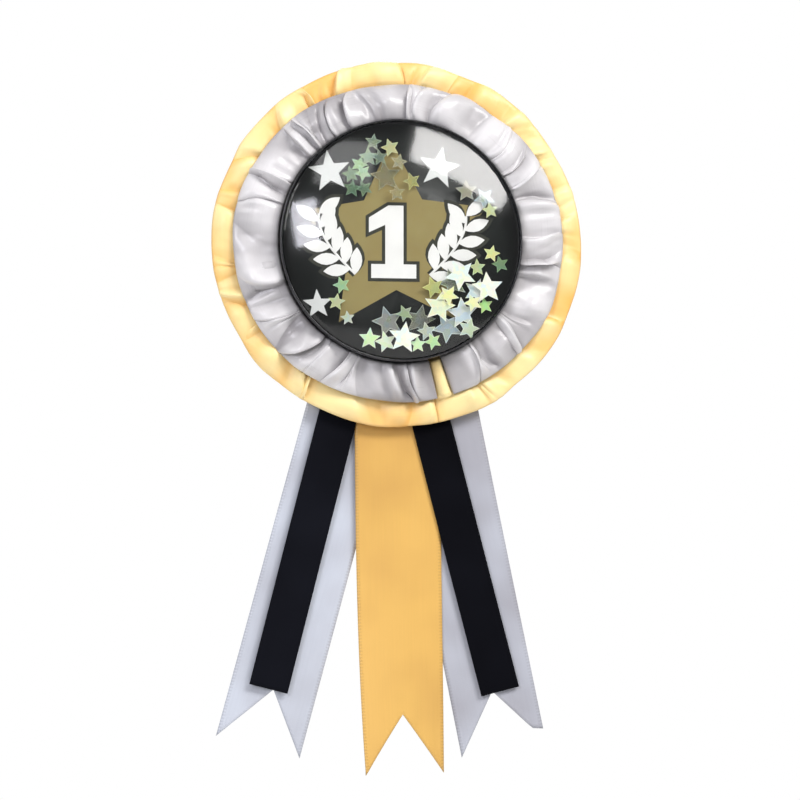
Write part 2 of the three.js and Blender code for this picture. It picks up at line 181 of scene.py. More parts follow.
def speckle_group():
    """Fine unevenness of a moulded or coated surface, as a height and a roughness."""
    group = bpy.data.node_groups.new("fine_speckle", "ShaderNodeTree")
    for way, labels in (("INPUT", ("Scale", "Low", "High")), ("OUTPUT", ("Height", "Roughness"))):
        for label in labels:
            group.interface.new_socket(label, in_out=way, socket_type="NodeSocketFloat")
    nodes, links = group.nodes, group.links
    given, out = nodes.new("NodeGroupInput"), nodes.new("NodeGroupOutput")
    place, grain = nodes.new("ShaderNodeTexCoord"), nodes.new("ShaderNodeTexNoise")
    grain.inputs["Detail"].default_value = 3
    spread = nodes.new("ShaderNodeMapRange")
    links.new(place.outputs["Object"], grain.inputs["Vector"])
    links.new(given.outputs["Scale"], grain.inputs["Scale"])
    links.new(grain.outputs["Fac"], spread.inputs["Value"])
    spread.inputs["From Min"].default_value = 0.3
    spread.inputs["From Max"].default_value = 0.7
    links.new(given.outputs["Low"], spread.inputs["To Min"])
    links.new(given.outputs["High"], spread.inputs["To Max"])
    links.new(grain.outputs["Fac"], out.inputs["Height"])
    links.new(spread.outputs["Result"], out.inputs["Roughness"])
    return group


FINE_SPECKLE = speckle_group()


def speckled(material, scale, low, high, bump=0.0):
    """Gives a material the fine speckle's roughness, and its height where bump is set."""
    nodes, links = material.node_tree.nodes, material.node_tree.links
    shader, node = nodes["Principled BSDF"], nodes.new("ShaderNodeGroup")
    node.node_tree = FINE_SPECKLE
    for socket, value in (("Scale", scale), ("Low", low), ("High", high)):
        node.inputs[socket].default_value = value
    links.new(node.outputs["Roughness"], shader.inputs["Roughness"])
    if bump:
        raise_it = nodes.new("ShaderNodeBump")
        raise_it.inputs["Strength"].default_value = bump
        raise_it.inputs["Distance"].default_value = 0.0001
        links.new(node.outputs["Height"], raise_it.inputs["Height"])
        links.new(raise_it.outputs["Normal"], shader.inputs["Normal"])
    return material


black_styrene = speckled(plain_material("black_styrene", (0.012, 0.012, 0.014), 0.2),
                         900, 0.12, 0.3)
cup = turned("badge_cup_shell", [
    (0, CUP_FLOOR_FRONT), (CUP_INNER, CUP_FLOOR_FRONT), (CUP_INNER, CUP_RIM + 0.2),
    (CUP_INNER + 0.07, CUP_RIM + 0.05), (CUP_INNER + 0.22, CUP_RIM), (CUP_R - 0.07, CUP_RIM + 0.05),
    (CUP_R, CUP_RIM + 0.2), (CUP_R, CUP_REAR - 0.5), (CUP_R - 0.15, CUP_REAR - 0.15),
    (CUP_R - 0.5, CUP_REAR), (0, CUP_REAR)], black_styrene)
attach(cup, "rosette")
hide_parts("badge_cup")

# Printed card -------------------------------------------------------------------------
# A black coated card under the stars, screen-printed with a khaki gold star, three white
# stars, and a white numeral between two laurel sprigs, each edged in dark ink.
PRINT_R, PRINT_REAR, PRINT_FRONT, INK_T = 30.3, -13.75, -14.25, 0.028

card_black = speckled(plain_material("coated_black_card", (0.007, 0.009, 0.008), 0.35,
                                     Specular_IOR_Level=0.25), 400, 0.3, 0.5)
card = turned("printed_card_stock", [
    (0, PRINT_FRONT), (PRINT_R, PRINT_FRONT), (PRINT_R, PRINT_REAR), (0, PRINT_REAR)], card_black)
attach(card, "rosette")
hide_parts("print_card")


def prisms(name, outlines, rear, thickness, material):
    """Flat shapes on one plane, from outlines in millimetres about the rosette's centre."""
    points, faces = [], []
    for outline in outlines:
        start, n = len(points), len(outline)
        for y in (rear, rear - thickness):
            points += [(x, y, CENTRE_Z + z) for x, z in outline]
        faces += [tuple(start + i for i in range(n)), tuple(start + n + i for i in range(n))]
        faces += [(start + i, start + (i + 1) % n, start + n + (i + 1) % n, start + n + i)
                  for i in range(n)]
    obj = mesh_piece(name, points, faces, material, smooth=False)
    work = bmesh.new()
    work.from_mesh(obj.data)
    bmesh.ops.triangulate(work, faces=[f for f in work.faces if len(f.verts) > 4])
    bmesh.ops.recalc_face_normals(work, faces=work.faces)
    work.to_mesh(obj.data)
    work.free()
    return obj


def star_outline(x, z, tip, inner, turn=0.0):
    """A five-pointed star; inner is how far its notches reach, as a share of the tip."""
    return [(x + (tip, tip * inner)[k % 2] * math.cos(math.radians(90 + turn + 36 * k)),
             z + (tip, tip * inner)[k % 2] * math.sin(math.radians(90 + turn + 36 * k)))
            for k in range(10)]


def grown(outline, by):
    """The outline moved outwards by that much, its corners kept sharp."""
    out, n = [], len(outline)
    turning = sum(outline[i][0] * outline[(i + 1) % n][1] - outline[(i + 1) % n][0] * outline[i][1]
                  for i in range(n))
    side = 1 if turning > 0 else -1
    for i in range(n):
        a, b, c = (Vector(outline[(i + k) % n]) for k in (-1, 0, 1))
        n1 = Vector(((b - a).y, -(b - a).x)).normalized() * side
        n2 = Vector(((c - b).y, -(c - b).x)).normalized() * side
        mid = (n1 + n2) / max(0.35, 1 + n1.dot(n2))
        out.append(tuple(b + mid * by))
    return out


def ink(name, colour, low, high, thin=(0.88, 0.88, 0.88)):
    """A screen ink that covers a little unevenly; thin dims its colour where it is thin."""
    material = speckled(plain_material(name, colour, 0.4), 700, low, high, bump=0.15)
    nodes, links = material.node_tree.nodes, material.node_tree.links
    place, cloud = nodes.new("ShaderNodeTexCoord"), nodes.new("ShaderNodeTexNoise")
    cloud.inputs["Scale"].default_value = 150
    cloud.inputs["Detail"].default_value = 4
    tone = nodes.new("ShaderNodeMix")
    tone.data_type = "RGBA"
    tone.inputs["A"].default_value = (*[c * k for c, k in zip(colour, thin)], 1)
    tone.inputs["B"].default_value = (*[min(1, c * 1.1) for c in colour], 1)
    links.new(place.outputs["Object"], cloud.inputs["Vector"])
    links.new(cloud.outputs["Fac"], tone.inputs["Factor"])
    links.new(tone.outputs["Result"], nodes["Principled BSDF"].inputs["Base Color"])
    return material


gold_ink = ink("khaki_gold_ink", (0.26, 0.218, 0.08), 0.3, 0.5, thin=(0.94, 0.82, 0.7))
white_ink = ink("white_ink", (0.80, 0.79, 0.765), 0.35, 0.55)
pale_ink = ink("pale_grey_ink", (0.66, 0.67, 0.655), 0.35, 0.55)
dark_ink = ink("dark_ink", (0.02, 0.021, 0.012), 0.3, 0.5)

NUMERAL = [(-5.3, -9.5), (6.3, -9.5), (6.3, -5.9), (3.0, -5.9), (3.0, 9.2), (-0.9, 9.2),
           (-5.9, 6.0), (-5.9, 2.2), (-1.7, 4.2), (-1.7, -5.9), (-5.3, -5.9)]
NUMERAL_X = -2.2
numeral = [(x + NUMERAL_X, z) for x, z in NUMERAL]
printed = [
    prisms("print_gold_star", [star_outline(-1.5, 0.3, 25.6, 0.5, 2.1)],
           PRINT_FRONT, INK_T, gold_ink),
    prisms("print_white_stars", [star_outline(-18.2, 17.7, 5.6, 0.42, 8),
                                 star_outline(10, 19.2, 5.6, 0.42, -10),
                                 star_outline(-21.2, -16.4, 3.9, 0.42, 4)],
           PRINT_FRONT - INK_T, INK_T, pale_ink),
    prisms("print_numeral_edge", [grown(numeral, 0.85)], PRINT_FRONT - INK_T, INK_T, dark_ink),
    prisms("print_numeral", [numeral], PRINT_FRONT - 2 * INK_T, INK_T, white_ink),
]


def arithmetic(tree):
    """A short way to add Math nodes to a tree, as sums(operation, value, value)."""
    def sums(operation, *values):
        node = tree.nodes.new("ShaderNodeMath")
        node.operation = operation
        for socket, value in zip(node.inputs, values):
            if isinstance(value, (int, float)):
                socket.default_value = value
            else:
                tree.links.new(value, socket)
        return node.outputs[0]

    return sums


def laurel_tree():
    """Leaves in pairs along a stem, all pressed flat on the card."""
    tree = bpy.data.node_groups.new("laurel_sprig", "GeometryNodeTree")
    tree.interface.new_socket("Geometry", in_out="INPUT", socket_type="NodeSocketGeometry")
    for label, kind in (("Leaves", "NodeSocketInt"), ("Leaf Length", "NodeSocketFloat"),
                        ("Leaf Width", "NodeSocketFloat"), ("Spread", "NodeSocketFloat"),
                        ("Lap", "NodeSocketFloat"),
                        ("Stem Radius", "NodeSocketFloat"), ("Thickness", "NodeSocketFloat"),
                        ("Ink", "NodeSocketMaterial")):
        tree.interface.new_socket(label, in_out="INPUT", socket_type=kind)
    tree.interface.new_socket("Geometry", in_out="OUTPUT", socket_type="NodeSocketGeometry")
    nodes, links = tree.nodes, tree.links
    given, out = nodes.new("NodeGroupInput"), nodes.new("NodeGroupOutput")
    sums = arithmetic(tree)

    # One leaf: a flat disc drawn out to a point at both ends.
    blade = nodes.new("GeometryNodeMeshCylinder")
    blade.inputs["Vertices"].default_value = 16
    blade.inputs["Radius"].default_value = 1
    blade.inputs["Depth"].default_value = 1
    where, parts = nodes.new("GeometryNodeInputPosition"), nodes.new("ShaderNodeSeparateXYZ")
    links.new(where.outputs[0], parts.inputs[0])
    along = sums("MULTIPLY", sums("ADD", parts.outputs[0], 1.0),
                 sums("MULTIPLY", given.outputs["Leaf Length"], 0.5))
    pinch = sums("SQRT", sums("MAXIMUM", sums("SUBTRACT", 1.0, sums(
        "MULTIPLY", parts.outputs[0], parts.outputs[0])), 0.0))
    across = sums("MULTIPLY", sums("MULTIPLY", parts.outputs[1], pinch),
                  sums("MULTIPLY", given.outputs["Leaf Width"], 0.5))
    deep = sums("MULTIPLY", parts.outputs[2], given.outputs["Thickness"])
    shaped, moved = nodes.new("ShaderNodeCombineXYZ"), nodes.new("GeometryNodeSetPosition")
    links.new(along, shaped.inputs[0])
    links.new(deep, shaped.inputs[1])
    links.new(across, shaped.inputs[2])
    links.new(blade.outputs["Mesh"], moved.inputs["Geometry"])
    links.new(shaped.outputs[0], moved.inputs["Position"])

    # The leaves along the stem, left and right in turn, each a hair nearer than the last.
    line = nodes.new("GeometryNodeMeshToCurve")
    links.new(given.outputs["Geometry"], line.inputs[0])
    spots = nodes.new("GeometryNodeCurveToPoints")
    links.new(line.outputs[0], spots.inputs["Curve"])
    links.new(given.outputs["Leaves"], spots.inputs["Count"])
    course = nodes.new("ShaderNodeSeparateXYZ")
    links.new(spots.outputs["Tangent"], course.inputs[0])
    index = nodes.new("GeometryNodeInputIndex")
    side = sums("SUBTRACT", sums("MULTIPLY", sums("MODULO", index.outputs[0], 2.0), 2.0), 1.0)
    heading = sums("ADD", sums("ARCTAN2", course.outputs[2], course.outputs[0]),
                   sums("MULTIPLY", side, given.outputs["Spread"]))
    aim = nodes.new("ShaderNodeCombineXYZ")
    links.new(sums("MULTIPLY", heading, -1.0), aim.inputs[1])
    lap, laid = nodes.new("ShaderNodeCombineXYZ"), nodes.new("GeometryNodeSetPosition")
    links.new(sums("MULTIPLY", index.outputs[0], given.outputs["Lap"]), lap.inputs[1])
    links.new(spots.outputs["Points"], laid.inputs["Geometry"])
    links.new(lap.outputs[0], laid.inputs["Offset"])
    placed = nodes.new("GeometryNodeInstanceOnPoints")
    links.new(laid.outputs[0], placed.inputs["Points"])
    links.new(moved.outputs[0], placed.inputs["Instance"])
    links.new(aim.outputs[0], placed.inputs["Rotation"])

    # The stem, a flat strip.
    profile = nodes.new("GeometryNodeCurvePrimitiveQuadrilateral")
    links.new(sums("MULTIPLY", given.outputs["Thickness"], 0.9), profile.inputs["Width"])
    links.new(sums("MULTIPLY", given.outputs["Stem Radius"], 2.0), profile.inputs["Height"])
    stem = nodes.new("GeometryNodeCurveToMesh")
    stem.inputs["Fill Caps"].default_value = True
    links.new(line.outputs[0], stem.inputs["Curve"])
    links.new(profile.outputs[0], stem.inputs["Profile Curve"])
    both, real, coat = (nodes.new("GeometryNode" + k) for k in (
        "JoinGeometry", "RealizeInstances", "SetMaterial"))
    links.new(placed.outputs[0], both.inputs[0])
    links.new(stem.outputs[0], both.inputs[0])
    links.new(both.outputs[0], real.inputs[0])
    links.new(real.outputs[0], coat.inputs["Geometry"])
    links.new(given.outputs["Ink"], coat.inputs["Material"])
    links.new(coat.outputs[0], out.inputs[0])
    return tree


def grow_from_tree(name, tree, points, values):
    """The plain mesh that a tree makes of a line of points in millimetres."""
    mesh = bpy.data.meshes.new(name)
    mesh.from_pydata([tuple(c * MM for c in p) for p in points],
                     [(i, i + 1) for i in range(len(points) - 1)], [])
    obj = bpy.data.objects.new(name, mesh)
    bpy.context.scene.collection.objects.link(obj)
    modifier = obj.modifiers.new("grown", "NODES")
    modifier.node_group = tree
    for item in tree.interface.items_tree:
        if item.in_out == "INPUT" and item.name in values:
            modifier[item.identifier] = values[item.name]
    graph = bpy.context.evaluated_depsgraph_get()
    made = bpy.data.meshes.new_from_object(obj.evaluated_get(graph))
    obj.modifiers.remove(modifier)
    obj.data = made
    made.name = name
    return obj


LAUREL = laurel_tree()
LAUREL_X, STEM_FOOT, STEM_HEIGHT, STEM_STEPS = -2.0, -8.6, 15.4, 24
for side, name in ((-1, "left"), (1, "right")):
    for edge, colour, grow, layer in ((True, dark_ink, 1.3, 1), (False, white_ink, 0.0, 2)):
        y = PRINT_FRONT - (layer + 0.5) * INK_T
        stem = []
        for k in range(STEM_STEPS + 1):
            out = 7.8 + 11.2 * math.sin(math.pi * (0.05 + 0.47 * k / STEM_STEPS))
            stem.append((LAUREL_X + side * out, y,
                         CENTRE_Z + STEM_FOOT + STEM_HEIGHT * k / STEM_STEPS))
        printed.append(grow_from_tree(
            "print_laurel_%s%s" % (name, "_edge" if edge else ""), LAUREL, stem,
            {"Leaves": 11, "Leaf Length": (6.9 + grow) * MM, "Leaf Width": (3.1 + grow) * MM,
             "Spread": math.radians(50), "Stem Radius": (0.3 + grow / 2) * MM,
             "Lap": -0.0016 * MM, "Thickness": INK_T * MM, "Ink": colour}))
for piece in printed:
    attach(piece, "rosette")

# Loose stars --------------------------------------------------------------------------
# Punched from clear holographic film. They lie free between the card and the dome, most
# of them sunk to the bottom, and each catches the light at its own tilt.
STAR_T, STAR_INNER, LAYER_0, LAYER_STEP = 0.12, 0.47, -14.45, 0.4329
STARS = [  # x, z, tip radius, turn, layer, tint, cover; the near-white tints are painted glints, the rest the film's own colours
    (9.7, -16.9, 4.2, -12, 5, (0.93, 0.92, 0.66), 0.94),
    (15.8, -18.4, 4.2, 6, 3, (0.74, 0.80, 0.86), 0.9),
    (22.2, -11.8, 4.2, 5, 4, (0.97, 0.98, 0.94), 0.97),
    (0.5, -25.0, 4.2, -8, 7, (0.95, 1.0, 0.92), 0.97),
    (4.9, -20.2, 4.2, -12, 0, (0.30, 0.31, 0.28), 0.55),
    (-3.3, -20.7, 4.2, 16, 1, (0.40, 0.42, 0.42), 0.55),
    (12.0, -22.0, 4.2, 30, 2, (0.46, 0.52, 0.58), 0.75),
    (-3.8, 16.6, 4.2, 9, 0, (0.34, 0.31, 0.20), 0.4),
    (8.3, -11.8, 2.9, 20, 2, (0.56, 0.56, 0.22), 0.85),
    (-8.1, -25.2, 2.9, -4, 3, (0.72, 0.93, 0.60), 0.95),
    (-4.0, -26.0, 2.9, 14, 4, (0.82, 0.93, 0.76), 0.95),
    (16.9, 13.2, 2.9, 4, 2, (0.38, 0.36, 0.30), 0.75),
    (21.7, 11.5, 2.9, 33, 1, (0.48, 0.54, 0.58), 0.75),
    (21.7, -16.2, 2.3, 12, 1, (0.52, 0.85, 0.32), 0.95),
    (4.1, -26.6, 2.3, 2, 5, (0.66, 0.90, 0.55), 0.95),
    (8.0, -25.8, 2.3, 25, 6, (0.55, 0.80, 0.40), 0.9),
    (-15.1, -11.5, 2.3, 18, 0, (0.38, 0.58, 0.34), 0.88),
    (-16.5, -15.9, 2.3, -9, 2, (0.56, 0.60, 0.38), 0.88),
    (25.8, -5.5, 2.3, 15, 0, (0.20, 0.32, 0.18), 0.85),
    (-10.7, 19.5, 2.3, -20, 1, (0.36, 0.54, 0.32), 0.88),
]
MORE_STARS = [  # the same, and the number of the star they move with
    (18.3, -15.8, 2.5, 22, 6, (0.92, 0.93, 0.55), 0.95, 2),
    (23.0, 8.2, 2.2, 10, 3, (0.70, 0.72, 0.40), 0.85, 13),
    (23.4, -2.9, 2.3, -14, 2, (0.78, 0.78, 0.36), 0.9, 19),
    (-9.8, 17.3, 2.3, 30, 3, (0.40, 0.55, 0.36), 0.8, 20),
    (-8.4, 21.4, 2.6, 4, 2, (0.34, 0.44, 0.32), 0.75, 20),
    (-12.9, 16.9, 2.3, 12, 2, (0.20, 0.30, 0.18), 0.8, 20),
    (-7.2, 25.2, 2.3, -8, 3, (0.30, 0.36, 0.28), 0.6, 20),
    (-2.7, 24.0, 2.5, 18, 1, (0.60, 0.60, 0.34), 0.75, 8),
    (13.4, -10.6, 4.0, 18, 1, (0.36, 0.40, 0.34), 0.55, 9),
    (15.2, -8.6, 4.2, 30, 4, (0.95, 0.97, 0.90), 0.97, 1),
    (17.2, -22.4, 2.9, -16, 5, (0.62, 0.72, 0.60), 0.9, 7),
    (-13.6, -19.9, 1.9, 8, 1, (0.66, 0.72, 0.66), 0.8, 18),
    (0.9, -18.6, 2.3, 25, 3, (0.42, 0.50, 0.38), 0.75, 6),
    (19.6, -6.6, 2.3, 5, 3, (0.58, 0.66, 0.38), 0.85, 9),
    (-5.6, 21.2, 2.3, 10, 4, (0.26, 0.33, 0.27), 0.45, 20),
    (-0.6, 20.2, 2.3, -12, 3, (0.44, 0.42, 0.30), 0.45, 8),
    (2.8, 15.4, 2.4, 20, 2, (0.52, 0.48, 0.20), 0.55, 8),
    (-1.2, 12.2, 2.3, 5, 4, (0.42, 0.38, 0.24), 0.4, 8),
    (-12.6, 13.2, 2.4, -6, 3, (0.15, 0.25, 0.15), 0.55, 20),
    (-9.4, 13.4, 2.3, 24, 1, (0.2, 0.3, 0.19), 0.5, 20),
    (12.0, -14.0, 2.8, 40, 6, (0.93, 0.92, 0.50), 0.92, 1),
    (6.6, -23.2, 2.6, 12, 3, (0.60, 0.64, 0.60), 0.7, 6),
    (19.4, -12.6, 3.4, -20, 2, (0.80, 0.86, 0.92), 0.85, 3),
]


def film_material():
    """Holographic film: a tint for each star, broken into small rainbow cells."""
    material = plain_material("holographic_film", (0.8, 0.85, 0.8), 0.16, Metallic=0.12,
                              Coat_Weight=0.6, Coat_Roughness=0.05)
    nodes, links = material.node_tree.nodes, material.node_tree.links
    shader = nodes["Principled BSDF"]
    place, cells, hue = (nodes.new("ShaderNode" + k) for k in (
        "TexCoord", "TexVoronoi", "ValToRGB"))
    cells.inputs["Scale"].default_value = 900
    rainbow = hue.color_ramp
    rainbow.elements[0].color, rainbow.elements[1].color = (0.85, 1, 0.55, 1), (0.75, 0.9, 1, 1)
    for at, colour in ((0.25, (1, 1, 0.75, 1)), (0.5, (1, 0.93, 0.86, 1)),
                       (0.75, (0.8, 1, 0.9, 1))):
        rainbow.elements.new(at).color = colour
    own, cover = nodes.new("ShaderNodeAttribute"), nodes.new("ShaderNodeAttribute")
    own.attribute_name, cover.attribute_name = "tint", "cover"
    split = nodes.new("ShaderNodeSeparateXYZ")
    blendin = nodes.new("ShaderNodeMix")
    blendin.data_type, blendin.blend_type = "RGBA", "MULTIPLY"
    blendin.inputs["Factor"].default_value = 0.6
    links.new(place.outputs["Object"], cells.inputs["Vector"])
    links.new(cells.outputs["Color"], split.inputs[0])
    links.new(split.outputs[0], hue.inputs["Fac"])
    links.new(own.outputs["Color"], blendin.inputs["A"])
    links.new(hue.outputs["Color"], blendin.inputs["B"])
    links.new(blendin.outputs["Result"], shader.inputs["Base Color"])
    tilt = nodes.new("ShaderNodeBump")
    tilt.inputs["Strength"].default_value = 0.5
    tilt.inputs["Distance"].default_value = 0.0004
    links.new(split.outputs[1], tilt.inputs["Height"])
    links.new(tilt.outputs["Normal"], shader.inputs["Normal"])
    links.new(cover.outputs["Fac"], shader.inputs["Alpha"])
    return material


HOLOGRAPHIC = film_material()
LARGE_STAR, LARGE_TILT, SMALL_TILT = 3.5, 0.09, 0.13  # tip radius, and most tilt in radians
GLINT_RIM_INNER = 0.84  # where the rim with its painted glint ends, as a share of the star
tilts = random.Random(7)


def film_star(name, x, z, tip, turn, layer, tint, cover):
    """One star, flat on both sides, its rim painted brighter and less see-through as a painted
    glint.
    """
    outline = star_outline(0, 0, tip, STAR_INNER, turn)
    steep = min(LARGE_TILT if tip > LARGE_STAR else SMALL_TILT,
                (0.03 + LAYER_STEP * layer) / (1.5 * tip))  # and clear of the print behind it
    lean = Euler((tilts.uniform(-steep, steep), 0, tilts.uniform(-steep, steep)))
    points, faces = [], []
    for level, scale in ((0, 1), (-STAR_T, 1), (-STAR_T, GLINT_RIM_INNER), (0, GLINT_RIM_INNER)):
        points += [lean.to_matrix() @ Vector((px * scale, level, pz * scale)) for px, pz in outline]
    points += [lean.to_matrix() @ Vector((0, -STAR_T, 0)), lean.to_matrix() @ Vector((0, 0, 0))]
    for i in range(10):
        j = (i + 1) % 10
        faces += [(i, j, 10 + j, 10 + i), (10 + i, 10 + j, 20 + j, 20 + i), (20 + i, 20 + j, 40),
                  (30 + i, 30 + j, j, i), (41, 30 + j, 30 + i)]
    y = LAYER_0 - layer * LAYER_STEP
    points = [(p.x + x, p.y + y, p.z + z + CENTRE_Z) for p in points]
    obj = mesh_piece(name, points, faces, HOLOGRAPHIC, smooth=False)
    obj.data.attributes.new("tint", "FLOAT_COLOR", "POINT")
    obj.data.attributes.new("cover", "FLOAT", "POINT")
    colours, covers = obj.data.attributes["tint"], obj.data.attributes["cover"]
    for i in range(len(obj.data.vertices)):
        # The rim is painted as a glint: brighter and less see-through than the rest of the star.
        edge = i < 2 * len(outline)
        colours.data[i].color = (*[min(1, c * 1.35 + 0.12) if edge else c for c in tint], 1)
        covers.data[i].value = min(1, cover + 0.3) if edge else cover
    return obj


for number, (x, z, tip, turn, layer, tint, cover) in enumerate(STARS, 1):
    star = film_star("foil_star_%02d" % number, x, z, tip, turn, layer, tint, cover)
    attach(star, "loose_star_%02d" % number)
    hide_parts("loose_star_%02d" % number)
for number, (x, z, tip, turn, layer, tint, cover, beside) in enumerate(MORE_STARS, 21):
    star = film_star("foil_star_%02d" % number, x, z, tip, turn, layer, tint, cover)
    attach(star, "loose_star_%02d" % beside)

# Clear dome ---------------------------------------------------------------------------
# One thin moulding of clear polystyrene: a shallow dome with a skirt that grips the cup.
DOME_R, DOME_INNER, DOME_RISE, DOME_WALL, SKIRT_END = 30.45, 29.9, 6.2, 0.55, -14.35


def dome_arc(radius, rise, steps=28):
    """Pairs of radius and depth from the dome's top to its rim."""
    ball = (radius * radius + rise * rise) / (2 * rise)
    half = math.asin(radius / ball)
    return [(ball * math.sin(half * k / steps) if k else 0,
             CUP_RIM - rise + ball * (1 - math.cos(half * k / steps))) for k in range(steps + 1)]


def clear_material():
    """Clear moulded plastic: see-through, with a mirror gloss that grows at a low angle."""
    material = bpy.data.materials.new("clear_polystyrene")
    material.use_nodes = True
    nodes, links = material.node_tree.nodes, material.node_tree.links
    nodes.remove(nodes["Principled BSDF"])
    see, gloss, share, mix, side, front = (nodes.new("ShaderNode" + k) for k in (
        "BsdfTransparent", "BsdfGlossy", "Fresnel", "MixShader", "NewGeometry", "Math"))
    see.inputs["Color"].default_value = (0.985, 0.99, 0.988, 1)
    gloss.inputs["Roughness"].default_value = 0.1
    share.inputs["IOR"].default_value = 1.6
    front.operation = "SUBTRACT"
    front.use_clamp = True
    links.new(share.outputs[0], front.inputs[0])
    links.new(side.outputs["Backfacing"], front.inputs[1])
    links.new(front.outputs[0], mix.inputs[0])
    links.new(see.outputs[0], mix.inputs[1])
    links.new(gloss.outputs[0], mix.inputs[2])
    links.new(mix.outputs[0], nodes["Material Output"].inputs["Surface"])
    return material


dome = turned("clear_dome_moulding",
              [*dome_arc(DOME_R, DOME_RISE), (DOME_R, SKIRT_END), (DOME_INNER, SKIRT_END),
               *reversed(dome_arc(DOME_INNER, DOME_RISE - DOME_WALL))], clear_material())
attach(dome, "rosette")
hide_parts("clear_dome")

# Ruffles ------------------------------------------------------------------------------
# Polyester satin ribbon folded double along its length and drawn up on a thread, so that
# the rounded fold is the outer edge. Silver lies over gold; each ring's ends meet below.
RIBBON_T = 0.2


def satin_group():
    """Satin ribbon: fine lengthwise threads, faint cross threads, and ribbed woven edges."""
    group = bpy.data.node_groups.new("satin_weave", "ShaderNodeTree")
    for label, kind in (("Face", "NodeSocketColor"), ("Depth", "NodeSocketColor"),
                        ("Half Width", "NodeSocketFloat"), ("Lustre", "NodeSocketFloat"),
                        ("Low", "NodeSocketFloat"), ("High", "NodeSocketFloat")):
        group.interface.new_socket(label, in_out="INPUT", socket_type=kind)
    for label, kind in (("Colour", "NodeSocketColor"), ("Height", "NodeSocketFloat"),
                        ("Roughness", "NodeSocketFloat")):
        group.interface.new_socket(label, in_out="OUTPUT", socket_type=kind)
    nodes, links = group.nodes, group.links
    given, out = nodes.new("NodeGroupInput"), nodes.new("NodeGroupOutput")
    sums = arithmetic(group)

    # Threads and the ribs of the woven edge, from the place on the flat ribbon in millimetres.
    lie, parts = nodes.new("ShaderNodeUVMap"), nodes.new("ShaderNodeSeparateXYZ")
    lie.uv_map = "lie"
    links.new(lie.outputs[0], parts.inputs[0])
    across, along = parts.outputs[0], parts.outputs[1]
    warp = sums("SINE", sums("MULTIPLY", across, 2 * math.pi * 4.2))
    weft = sums("SINE", sums("MULTIPLY", along, 2 * math.pi * 2.1))
    rib = sums("SINE", sums("MULTIPLY", along, 2 * math.pi * 1.25))
    rim = nodes.new("ShaderNodeMapRange")
    links.new(sums("SUBTRACT", given.outputs["Half Width"], sums("ABSOLUTE", across)),
              rim.inputs["Value"])
    rim.inputs["From Min"].default_value = 1.0
    rim.inputs["From Max"].default_value = 0.7
    lanes, streak = nodes.new("ShaderNodeCombineXYZ"), nodes.new("ShaderNodeTexNoise")
    links.new(sums("MULTIPLY", across, 2.6), lanes.inputs[0])
    links.new(sums("MULTIPLY", along, 0.06), lanes.inputs[1])
    links.new(lanes.outputs[0], streak.inputs["Vector"])
    streak.inputs["Scale"].default_value = 1
    streak.inputs["Detail"].default_value = 3
    # Painted light: the face colour and the painted shade colour, mixed by the fold attribute
    # (painted shade in creases, painted sheen bands, painted lit and shaded tails) and by large
    # soft clouds of painted sheen.
    deep = nodes.new("ShaderNodeAttribute")
    deep.attribute_name = "fold"
    place, cloud = nodes.new("ShaderNodeTexCoord"), nodes.new("ShaderNodeTexNoise")
    links.new(place.outputs["Object"], cloud.inputs["Vector"])
    cloud.inputs["Scale"].default_value = 62
    cloud.inputs["Detail"].default_value = 1.5
    body = nodes.new("ShaderNodeMix")
    body.data_type = "RGBA"
    links.new(sums("MULTIPLY_ADD", sums("SUBTRACT", cloud.outputs["Fac"], 0.5),
                   given.outputs["Lustre"], deep.outputs["Fac"]), body.inputs["Factor"])
    links.new(given.outputs["Depth"], body.inputs["A"])
    links.new(given.outputs["Face"], body.inputs["B"])
    tone = nodes.new("ShaderNodeMapRange")
    links.new(streak.outputs["Fac"], tone.inputs["Value"])
    tone.inputs["From Min"].default_value = 0.3
    tone.inputs["From Max"].default_value = 0.7
    tone.inputs["To Min"].default_value = 0.98
    tone.inputs["To Max"].default_value = 1.012
    edge_tone = sums("SUBTRACT", 1.0, sums("MULTIPLY", rim.outputs[0], sums(
        "MULTIPLY_ADD", rib, 0.08, 0.08)))
    shade = nodes.new("ShaderNodeVectorMath")
    shade.operation = "SCALE"
    links.new(body.outputs["Result"], shade.inputs[0])
    links.new(sums("MULTIPLY", tone.outputs[0], edge_tone), shade.inputs["Scale"])
    links.new(shade.outputs[0], out.inputs["Colour"])
    # Relief and gloss.
    flat = sums("SUBTRACT", 1.0, rim.outputs[0])
    weave = sums("MULTIPLY", sums("MULTIPLY_ADD", warp, 0.3, sums("MULTIPLY", weft, 0.12)), flat)
    links.new(sums("MULTIPLY_ADD", sums("MULTIPLY", rib, rim.outputs[0]), 1.6, weave),
              out.inputs["Height"])
    rough = nodes.new("ShaderNodeMapRange")
    links.new(streak.outputs["Fac"], rough.inputs["Value"])
    rough.inputs["From Min"].default_value = 0.3
    rough.inputs["From Max"].default_value = 0.7
    links.new(given.outputs["Low"], rough.inputs["To Min"])
    links.new(given.outputs["High"], rough.inputs["To Max"])
    links.new(rough.outputs[0], out.inputs["Roughness"])
    return group


SATIN_WEAVE = satin_group()


